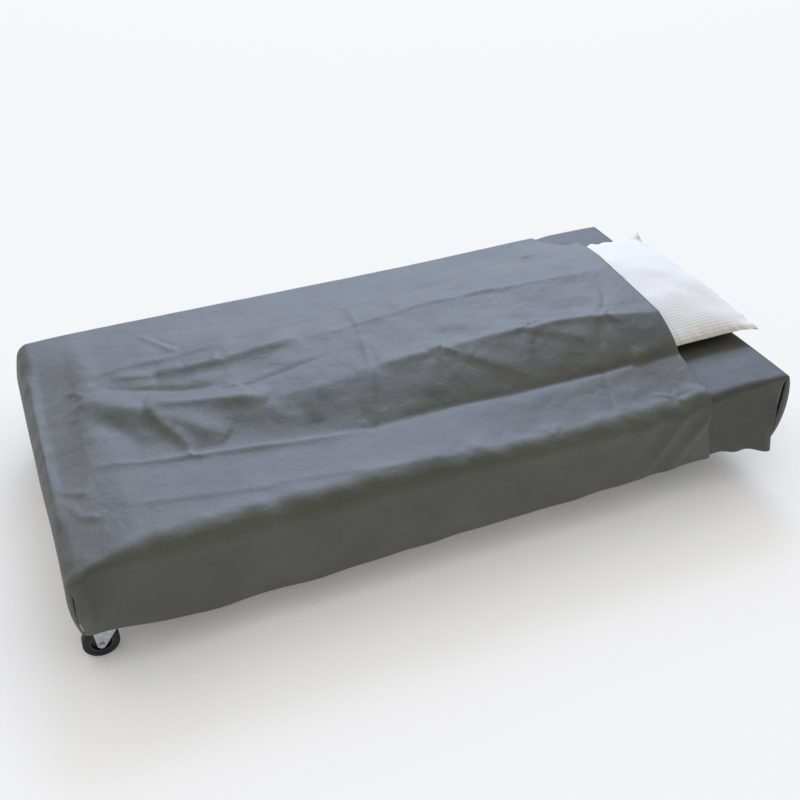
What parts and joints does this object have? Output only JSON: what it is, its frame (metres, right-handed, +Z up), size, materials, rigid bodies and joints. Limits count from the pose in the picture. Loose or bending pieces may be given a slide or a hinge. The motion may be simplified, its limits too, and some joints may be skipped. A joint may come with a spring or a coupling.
{
  "type": "rollaway bed",
  "caption": "Low roll-under single bed on swivel casters, with slatted steel frame, mattress, fitted cover, quilt, blanket and pillow.",
  "frame": {"origin": "on the floor, under the middle of the whole made-up bed with its pillow", "axes": "+X towards the head of the bed, +Y towards its far side, +Z up"},
  "size_m": [2.0148, 0.9772, 0.4709],
  "materials": {
    "powder_coated_steel": "satin",
    "zinc_steel": "satin",
    "slat_wood": "satin",
    "cap_plastic": "matte",
    "hub_plastic": "satin",
    "tyre_rubber": "matte",
    "brake_plastic": "satin",
    "blanket_cotton": "matte",
    "cover_cotton": "matte",
    "ticking": "matte",
    "core_foam": "matte",
    "quilt_wadding": "matte",
    "pillow_filling": "matte",
    "pillowcase_cotton": "matte"
  },
  "bodies": {
    "root": {"base_cover_far_panel": "cover_cotton", "base_cover_foot_panel": "cover_cotton", "base_cover_head_panel": "cover_cotton", "base_cover_near_panel": "cover_cotton", "base_cover_top": "cover_cotton", "blanket_far_panel": "blanket_cotton", "blanket_foot_panel": "blanket_cotton", "blanket_near_panel": "blanket_cotton", "blanket_top": "blanket_cotton", "caster_bolts": "zinc_steel", "caster_kingpins": "zinc_steel", "caster_mounting_plates": "powder_coated_steel", "caster_nuts": "zinc_steel", "caster_plate_far_foot": "zinc_steel", "caster_plate_far_head": "zinc_steel", "caster_plate_near_foot": "zinc_steel", "caster_plate_near_head": "zinc_steel", "cross_member_head_inner": "powder_coated_steel", "cross_member_head_outer": "powder_coated_steel", "cross_member_mid": "powder_coated_steel", "foot_rail": "powder_coated_steel", "frame_bolts": "zinc_steel", "head_rail": "powder_coated_steel", "mattress_core": "core_foam", "mattress_ticking": "ticking", "pillow_insert": "pillow_filling", "pillowcase": "pillowcase_cotton", "quilt": "quilt_wadding", "rail_end_caps": "cap_plastic", "rail_end_inserts": "zinc_steel", "side_rail_far": "powder_coated_steel", "side_rail_near": "powder_coated_steel", "slat_caps": "cap_plastic", "slats": "slat_wood", "swivel_balls": "zinc_steel"},
    "swivel_near_foot": {"fork_near_foot": "zinc_steel", "axle_near_foot": "zinc_steel", "axle_sleeve_near_foot": "zinc_steel"},
    "wheel_near_foot": {"wheel_hub_near_foot": "hub_plastic", "tyre_near_foot": "tyre_rubber"},
    "swivel_far_foot": {"fork_far_foot": "zinc_steel", "axle_far_foot": "zinc_steel", "axle_sleeve_far_foot": "zinc_steel"},
    "wheel_far_foot": {"wheel_hub_far_foot": "hub_plastic", "tyre_far_foot": "tyre_rubber"},
    "swivel_near_head": {"fork_near_head": "zinc_steel", "axle_near_head": "zinc_steel", "axle_sleeve_near_head": "zinc_steel", "brake_pin_near_head": "zinc_steel"},
    "wheel_near_head": {"wheel_hub_near_head": "hub_plastic", "tyre_near_head": "tyre_rubber"},
    "pedal_near_head": {"brake_pedal_near_head": "brake_plastic"},
    "swivel_far_head": {"fork_far_head": "zinc_steel", "axle_far_head": "zinc_steel", "axle_sleeve_far_head": "zinc_steel", "brake_pin_far_head": "zinc_steel"},
    "wheel_far_head": {"wheel_hub_far_head": "hub_plastic", "tyre_far_head": "tyre_rubber"},
    "pedal_far_head": {"brake_pedal_far_head": "brake_plastic"}
  },
  "joints": [
    {"name": "swivel_spin_near_foot", "type": "hinge", "parent": "root", "child": "swivel_near_foot", "pos_m": [-0.9321, -0.43, 0.117], "axis": [0, 0, 1], "continuous": true},
    {"name": "wheel_spin_near_foot", "type": "hinge", "parent": "swivel_near_foot", "child": "wheel_near_foot", "pos_m": [-0.9671, -0.43, 0.045], "axis": [0, 1, 0], "continuous": true},
    {"name": "swivel_spin_far_foot", "type": "hinge", "parent": "root", "child": "swivel_far_foot", "pos_m": [-0.9321, 0.43, 0.117], "axis": [0, 0, 1], "continuous": true},
    {"name": "wheel_spin_far_foot", "type": "hinge", "parent": "swivel_far_foot", "child": "wheel_far_foot", "pos_m": [-0.9671, 0.43, 0.045], "axis": [0, 1, 0], "continuous": true},
    {"name": "swivel_spin_near_head", "type": "hinge", "parent": "root", "child": "swivel_near_head", "pos_m": [0.6809, -0.25, 0.117], "axis": [0, 0, 1], "continuous": true},
    {"name": "wheel_spin_near_head", "type": "hinge", "parent": "swivel_near_head", "child": "wheel_near_head", "pos_m": [0.6459, -0.25, 0.045], "axis": [0, 1, 0], "continuous": true},
    {"name": "brake_press_near_head", "type": "hinge", "parent": "swivel_near_head", "child": "pedal_near_head", "pos_m": [0.6349, -0.25, 0.098], "axis": [0, -1, 0], "range_deg": [0, 10.5]},
    {"name": "swivel_spin_far_head", "type": "hinge", "parent": "root", "child": "swivel_far_head", "pos_m": [0.6809, 0.25, 0.117], "axis": [0, 0, 1], "continuous": true},
    {"name": "wheel_spin_far_head", "type": "hinge", "parent": "swivel_far_head", "child": "wheel_far_head", "pos_m": [0.6459, 0.25, 0.045], "axis": [0, 1, 0], "continuous": true},
    {"name": "brake_press_far_head", "type": "hinge", "parent": "swivel_far_head", "child": "pedal_far_head", "pos_m": [0.6349, 0.25, 0.098], "axis": [0, -1, 0], "range_deg": [0, 10.5]}
  ]
}
